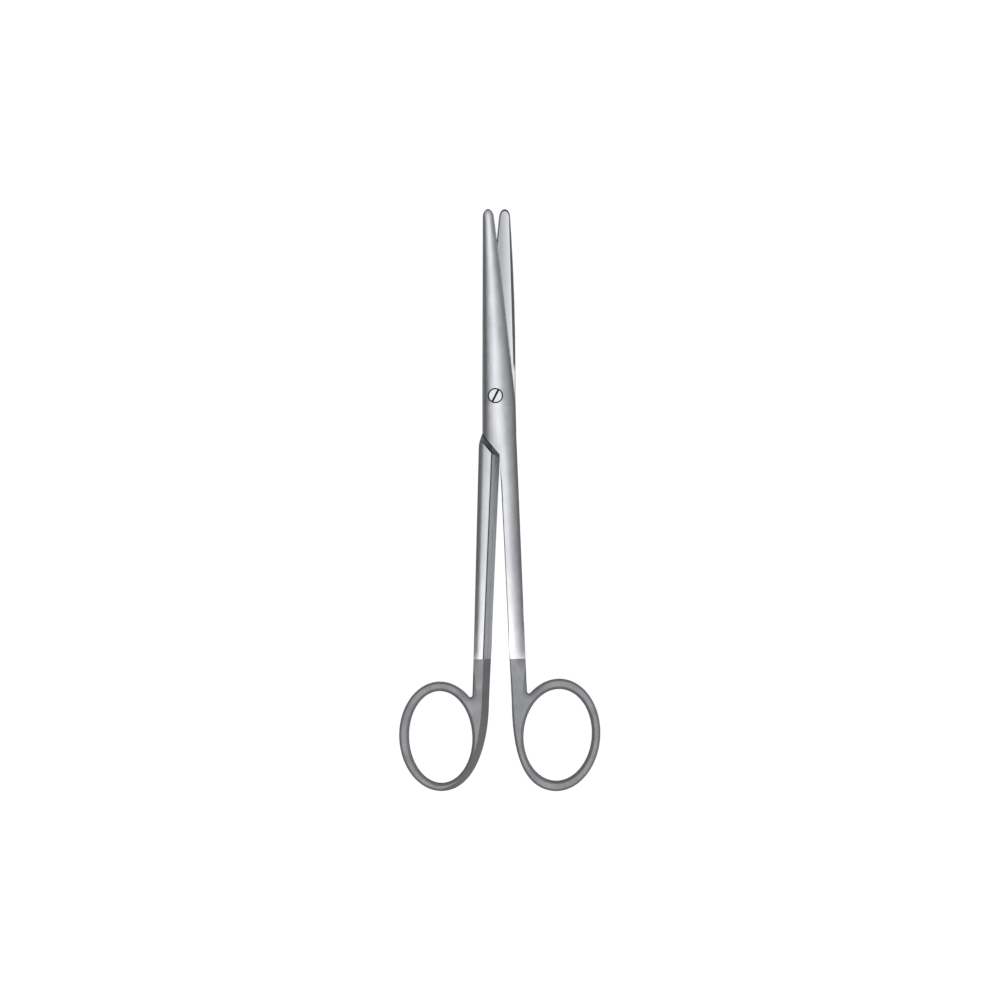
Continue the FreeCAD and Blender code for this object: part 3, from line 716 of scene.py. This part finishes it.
@dataclass(frozen=True)
class FlatterShank:
    """The lower shank's flatter back beside its steep flat, round only at its outer edge.

    The shank lies between two lines, x = at + slope * y, in millimetres.
    """

    outer_at: float = -4.778  # mm, the outer edge
    outer_slope: float = 0.03835
    inner_at: float = 0.346  # mm, the edge toward the other shank
    inner_slope: float = 0.05477
    flat_width: float = 2.05  # mm, the steep flat seen from above
    amount: float = 0.27  # mm of height for each mm across
    start: float = 1.1  # mm from the outer edge
    blend: float = 0.5  # mm
    top: tuple[float, float] = (13.0, 22.0)  # mm, where it fades out toward the joint
    foot: tuple[float, float] = (-38.0, -48.0)  # mm, and toward the ring
    edge_width: float = 0.3  # mm, of the painted shade lines beside the steep flat

    def edges(self) -> tuple[LongLine, ...]:
        """Find the two painted shade lines that bound the steep flat.

        Returns:
            The line at its upper edge and the line at its lower one.
        """
        inner = self.inner_at - self.edge_width / 2
        return (
            LongLine(self.inner_at - self.flat_width, self.inner_slope, self.edge_width),
            LongLine(inner, self.inner_slope, self.edge_width),
        )

    def height(self, tree: Tree, place: Socket) -> Socket:
        """Build the change of height across the shank.

        Args:
            tree: Node tree of the material.
            place: Position on the piece, in metres.

        Returns:
            The height in metres.
        """
        level = add(tree, "ShaderNodeSeparateXYZ", {"Vector": place}).outputs["Y"]
        from_outer = add(
            tree, "ShaderNodeVectorMath", {0: place, 1: (1.0, -self.outer_slope, 0.0)},
            operation="DOT_PRODUCT",
        ).outputs["Value"]
        outward = add(
            tree, "ShaderNodeMath", {0: from_outer, 1: mm(-self.outer_at)}, operation="ADD"
        ).outputs[0]
        top_width = add(
            tree, "ShaderNodeMath",
            {0: level, 1: self.inner_slope - self.outer_slope,
             2: mm(self.inner_at - self.outer_at - self.flat_width)},
            operation="MULTIPLY_ADD",
        ).outputs[0]
        kept = add(
            tree, "ShaderNodeMath", {0: outward, 1: top_width}, operation="MINIMUM"
        ).outputs[0]
        past = add(
            tree, "ShaderNodeMath", {0: kept, 1: mm(self.start)}, operation="SUBTRACT"
        ).outputs[0]
        ramp = add(
            tree, "ShaderNodeMath", {0: past, 1: 0.0, 2: mm(self.blend)}, operation="SMOOTH_MAX"
        ).outputs[0]
        for near, far in (self.top, self.foot):
            share = add(
                tree, "ShaderNodeMapRange",
                {"Value": level, "From Min": mm(far), "From Max": mm(near)},
                interpolation_type="SMOOTHSTEP",
            ).outputs["Result"]
            ramp = add(
                tree, "ShaderNodeMath", {0: ramp, 1: share}, operation="MULTIPLY"
            ).outputs[0]
        return add(
            tree, "ShaderNodeMath", {0: ramp, 1: -self.amount}, operation="MULTIPLY"
        ).outputs[0]


@dataclass(frozen=True)
class Stripe:
    """A straight stripe through an upright axis."""

    middle: tuple[float, float]  # m
    turn: float  # degrees from X
    width: float  # mm

    def mask(self, tree: Tree, place: Socket) -> Socket:
        """Build the stripe's mask.

        Args:
            tree: Node tree of the material.
            place: Position on the piece, in metres.

        Returns:
            1 on the stripe, 0 beside it.
        """
        turn = math.radians(self.turn)
        aside = (-math.sin(turn), math.cos(turn), 0.0)
        offset = self.middle[0] * aside[0] + self.middle[1] * aside[1]
        at = add(
            tree, "ShaderNodeVectorMath", {0: place, 1: aside}, operation="DOT_PRODUCT"
        ).outputs["Value"]
        return add(
            tree, "ShaderNodeMath", {0: at, 1: offset, 2: mm(self.width) / 2}, operation="COMPARE"
        ).outputs[0]


@dataclass(frozen=True)
class Both:
    """Where all of some regions overlap."""

    regions: tuple[Region, ...]

    def mask(self, tree: Tree, place: Socket) -> Socket:
        """Build the shared region's mask.

        Args:
            tree: Node tree of the material.
            place: Position on the piece, in metres.

        Returns:
            1 where all of them are, 0 elsewhere.
        """
        joined = self.regions[0].mask(tree, place)
        for region in self.regions[1:]:
            more = region.mask(tree, place)
            joined = add(
                tree, "ShaderNodeMath", {0: joined, 1: more}, operation="MULTIPLY"
            ).outputs[0]
        return joined


@dataclass(frozen=True)
class Layer:
    """A finish and where it lies."""

    finish: Finish
    region: Region


@dataclass(frozen=True)
class Skin:
    """All of a piece's surface: one finish over all of it, and others over parts of it."""

    name: str
    base: Finish
    layers: tuple[Layer, ...]
    form: Form | None = None  # shades a form that is too slight for the solid

    def material(self) -> bpy.types.Material:
        """Join the finishes into one bare-metal material.

        Returns:
            The material.
        """
        made = bpy.data.materials.new(self.name)
        made.use_nodes = True
        tree = made.node_tree
        tree.nodes.clear()
        place = add(tree, "ShaderNodeTexCoord").outputs["Object"]
        relief = self.base.relief(tree, place)
        for layer in self.layers:
            top = layer.finish.relief(tree, place)
            relief = relief.under(tree, top, layer.region.mask(tree, place))
        height = relief.height
        if self.form:
            change = self.form.height(tree, place)
            height = add(tree, "ShaderNodeMath", {0: height, 1: change}, operation="ADD").outputs[0]
        bump = add(tree, "ShaderNodeBump", {"Strength": 1.0, "Distance": 1.0, "Height": height})
        shader = add(
            tree, "ShaderNodeBsdfPrincipled",
            {"Base Color": relief.colour, "Metallic": 1.0, "Roughness": relief.roughness,
             "Normal": bump.outputs["Normal"]},
        )
        add(tree, "ShaderNodeOutputMaterial", {"Surface": shader.outputs["BSDF"]})
        return made

    def dress(self, node: str) -> bpy.types.Object:
        """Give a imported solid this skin.

        Args:
            node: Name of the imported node.

        Returns:
            The node's object.
        """
        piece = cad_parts[node]
        material = self.material()
        if not piece.material_slots:
            piece.data.materials.append(material)
        for slot in piece.material_slots:
            slot.material = material
        return piece


@dataclass(frozen=True)
class Pivot:
    """Where the screw stands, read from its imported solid."""

    x: float  # m
    y: float
    top: float

    @classmethod
    def of(cls, node: str) -> "Pivot":
        """Read the screw's place.

        Args:
            node: Name of the screw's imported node.

        Returns:
            The middle of its head, and how high it stands.
        """
        low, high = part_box(node)
        middle = (Vector(low) + Vector(high)) / 2
        return cls(middle.x, middle.y, high[2])


@dataclass
class Half:
    """One forged half: blade, lap joint, shank and finger ring in one piece."""

    node: str
    pivot: Pivot
    turn: float  # degrees that the half is turned from shut
    form: Form | None = None
    edges: tuple[LongLine, ...] = ()  # painted shade lines along the shank's top
    edges_end: float = 12.4  # mm, where they stop below the joint
    highlight_level: float = -24.0  # mm, middle of the change to the painted highlight
    highlight_fade: float = 18.0  # mm
    coat_level: float = -39.44  # mm, where the grey coat starts
    coat_fade: float = 0.12  # mm
    coat_waver: float = 0.1  # mm that the coat's edge wanders
    lap_reach: float = 3.5  # mm behind the screw where the bare lap begins to show
    lap_fade: float = 0.2  # mm
    lap_depth: float = 0.04  # mm to either side of the mating plane
    hollow_start: float = 7.0  # mm ahead of the screw
    hollow_fade: float = 2.0  # mm
    hollow_depth: float = 0.13  # mm, no shallower than the hollow
    rim_depth: float = 0.03  # mm to either side of the mating plane
    seat_radius: float = 1.89  # mm, wall of the screw's seat
    steep_cosine: float = 0.93  # of the steep flat's widest angle
    ring_cosine: float = 0.45  # and of its coated end's, which curls round the ring
    ring_fade: float = 0.5

    def flat(self, depth: float) -> tuple[Level, Level]:
        """Find the region close to the mating plane.

        Args:
            depth: How far it reaches to either side of the plane, in millimetres.

        Returns:
            The levels above and below which it lies.
        """
        return (
            Level(Axis.Z, MATING_HEIGHT - depth, Side.ABOVE, CRISP),
            Level(Axis.Z, MATING_HEIGHT + depth, Side.BELOW, CRISP),
        )

    def build(self) -> bpy.types.Object:
        """Dress the half in bare, ground and coated steel, with painted highlight, light and shade.

        Returns:
            The half's object.
        """
        axis_y = self.pivot.y * 1000.0
        middle = (self.pivot.x, self.pivot.y)
        blade = Level(Axis.Y, axis_y + self.hollow_start, Side.ABOVE, self.hollow_fade)
        behind = Level(Axis.Y, axis_y - self.lap_reach, Side.BELOW, self.lap_fade)
        hollow = Both((blade, *self.flat(self.hollow_depth)))
        rim = Both((blade, *self.flat(self.rim_depth), BladeRim(middle, self.turn)))
        lap = Both((behind, *self.flat(self.lap_depth)))
        steep = Facing(STEEP_WAY, self.steep_cosine)
        around_ring = Facing(STEEP_WAY, self.ring_cosine, self.ring_fade)
        # Painted highlight on the shanks, growing toward the coat.
        shank_highlight = Level(Axis.Y, self.highlight_level, Side.BELOW, self.highlight_fade)
        coat = Level(Axis.Y, self.coat_level, Side.BELOW, self.coat_fade, self.coat_waver)
        shank_top = (
            Level(Axis.Y, self.edges_end, Side.BELOW),
            Level(Axis.Z, MATING_HEIGHT, Side.ABOVE),
        )
        layers = (
            Layer(PaintedHighlightSteel(), shank_highlight),
            # Painted light on the steep flats.
            Layer(BeltGroundPaintedLight(), steep),
            # Painted shade lines beside the steep flat.
            *(Layer(PaintedEdgeShade(), Both((*shank_top, edge))) for edge in self.edges),
            # Painted shade on the blade's inner face, greyer toward the cutting edge.
            Layer(HollowGroundPaintedShade(), hollow),
            # Painted shade line round the blade's inner face.
            Layer(PaintedEdgeShade(), rim),
            # Painted shade in the lap between the halves.
            Layer(PaintedShadeSteel(), lap),
            # Painted shade on the wall of the screw's seat.
            Layer(DeepPaintedShade(), Round(middle, self.seat_radius)),
            Layer(NitrideCoat(), coat),
            # Painted light on the coated steep flat.
            Layer(RoughCoatPaintedLight(), Both((around_ring, coat))),
        )
        name = f"satin_and_coated_steel_{self.node}"
        return Skin(name, SatinSteel(), layers, self.form).dress(self.node)


@dataclass
class PivotScrew:
    """Slotted screw that holds the halves together."""

    node: str
    pivot: Pivot
    polished_depth: float = 0.125  # mm; the chamfer and the slot below it get painted shade
    slot_turn: float = 62.3  # degrees from X
    slot_width: float = 0.54  # mm, with a strip of painted shade beside it

    def build(self) -> bpy.types.Object:
        """Dress the screw: a polished head, with painted shade in and beside the slot and on the
        steel below it.

        Returns:
            The screw's object.
        """
        top = self.pivot.top * 1000.0
        lower = Level(Axis.Z, top - self.polished_depth, Side.BELOW, CRISP)
        middle = (self.pivot.x, self.pivot.y)
        slot = Stripe(middle, self.slot_turn, self.slot_width)
        # Painted shade on the chamfer, in the slot and beside it.
        layers = (Layer(DeepPaintedShade(), lower), Layer(DeepPaintedShade(), slot))
        return Skin("turned_polished_steel", TurnedSteel(middle), layers).dress(self.node)


@dataclass
class Scissors:
    """The whole instrument."""

    opening: float = 5.25  # degrees between the blades at rest
    pieces: list[bpy.types.Object] = field(default_factory=list)

    def build(self) -> None:
        """Dress each piece and report it."""
        pivot = Pivot.of("pivot_screw")
        turn = self.opening / 2
        shank = FlatterShank()
        parts = (
            Half("upper_half", pivot, turn),
            Half("lower_half", pivot, -turn, shank, shank.edges()),
            PivotScrew("pivot_screw", pivot),
        )
        for part in parts:
            piece = part.build()
            self.pieces.append(piece)
            LOG.info("%s dressed, %d faces", piece.name, len(piece.data.polygons))


@dataclass
class Table:
    """A pale table: a white sheet for the light, and a lit one for the camera."""

    width: float = 30.0  # m
    white: str = "AAAAAA"
    glow: float = 0.86
    roughness: float = 0.9
    specular: float = 0.1
    top_drop: float = 0.06  # mm, the lit sheet under the scissors
    under_drop: float = 0.12  # mm, the white sheet under that

    def sheet(self, name: str, drop: float, material: bpy.types.Material) -> bpy.types.Object:
        """Lay a large flat sheet.

        Args:
            name: Name of the sheet.
            drop: How far it lies under the scissors, in millimetres.
            material: Its finish.

        Returns:
            The sheet.
        """
        half = self.width / 2
        mesh = bpy.data.meshes.new(name)
        corners = [(-half, -half, 0), (half, -half, 0), (half, half, 0), (-half, half, 0)]
        mesh.from_pydata(corners, [], [(0, 1, 2, 3)])
        mesh.materials.append(material)
        sheet = bpy.data.objects.new(name, mesh)
        bpy.context.collection.objects.link(sheet)
        sheet.location.z = -mm(drop)
        return sheet

    def paper(self, name: str, glow: float) -> bpy.types.Material:
        """Make matte white paper, such as a photographer's roll.

        Args:
            name: Name of the material.
            glow: How brightly it is lit from behind; 1 is paper white.

        Returns:
            The material.
        """
        made = bpy.data.materials.new(name)
        made.use_nodes = True
        tree = made.node_tree
        tree.nodes.clear()
        shader = add(
            tree, "ShaderNodeBsdfPrincipled",
            {"Base Color": linear(self.white), "Roughness": self.roughness,
             "Specular IOR Level": self.specular, "Emission Color": WHITE,
             "Emission Strength": glow},
        )
        add(tree, "ShaderNodeOutputMaterial", {"Surface": shader.outputs["BSDF"]})
        return made

    def build(self) -> None:
        """Lay the sheet that lights the scissors and the one that the camera sees."""
        under = self.sheet("table_under", self.under_drop, self.paper("white_paper", 0.0))
        under.visible_camera = False
        top = self.sheet("table_top", self.top_drop, self.paper("lit_paper", self.glow))
        top.visible_diffuse = False
        top.visible_glossy = False
        top.visible_shadow = False


@dataclass
class Studio:
    """Table, and a tent of white cloth lit from above, which dims evenly toward the floor."""

    overhead: float = 1.5  # brightness of the cloth at its brightest; 1 is paper white
    sides: float = 0.14  # and at the height of the table
    fall: float = 2.8  # how fast it dims on the way down
    lean: float = 4.0  # degrees from straight above to its brightest place, at the right

    def build(self) -> None:
        """Lay the table and light the tent."""
        Table().build()
        tent = bpy.data.worlds.new("light_tent")
        bpy.context.scene.world = tent
        tent.use_nodes = True
        tree = tent.node_tree
        tree.nodes.clear()
        way = add(tree, "ShaderNodeTexCoord").outputs["Generated"]
        lean = math.radians(self.lean)
        up = add(
            tree, "ShaderNodeVectorMath", {0: way, 1: (math.sin(lean), 0.0, math.cos(lean))},
            operation="DOT_PRODUCT",
        ).outputs["Value"]
        above = add(tree, "ShaderNodeMath", {0: up, 1: 0.0}, operation="MAXIMUM").outputs[0]
        curve = add(
            tree, "ShaderNodeMath", {0: above, 1: self.fall}, operation="POWER"
        ).outputs[0]
        light = add(
            tree, "ShaderNodeMath", {0: curve, 1: self.overhead - self.sides, 2: self.sides},
            operation="MULTIPLY_ADD",
        ).outputs[0]
        back = add(tree, "ShaderNodeBackground", {"Color": WHITE, "Strength": light})
        add(tree, "ShaderNodeOutputWorld", {"Surface": back.outputs["Background"]})
        settings = bpy.context.scene.view_settings
        settings.view_transform = "Standard"
        settings.look = "None"


@dataclass
class Camera:
    """Long lens straight above the scissors, framed as the photograph is."""

    lens: float = 200.0  # mm
    sensor: float = 36.0  # mm
    clip: tuple[float, float] = (0.01, 60.0)  # m, nearest and farthest that it sees

    def build(self) -> bpy.types.Object:
        """Place the camera and make it the scene's own.

        Returns:
            The camera.
        """
        data = bpy.data.cameras.new("overhead_camera")
        data.lens = self.lens
        data.sensor_width = self.sensor
        data.dof.use_dof = False
        camera = bpy.data.objects.new("overhead_camera", data)
        bpy.context.collection.objects.link(camera)
        distance = mm(FRAME_WIDTH) * self.lens / self.sensor
        across, along = FRAME_CENTRE
        camera.location = (mm(across), mm(along), mm(MATING_HEIGHT) + distance)
        camera.rotation_euler = (0.0, 0.0, -math.radians(FRAME_ROLL))
        data.clip_start, data.clip_end = self.clip
        bpy.context.scene.camera = camera
        return camera


def main() -> None:
    """Build the camera, the scissors and the studio."""
    logging.basicConfig(level=logging.INFO, format="%(name)s: %(message)s")
    Camera().build()
    Scissors().build()
    Studio().build()


if __name__ == "__main__":
    main()
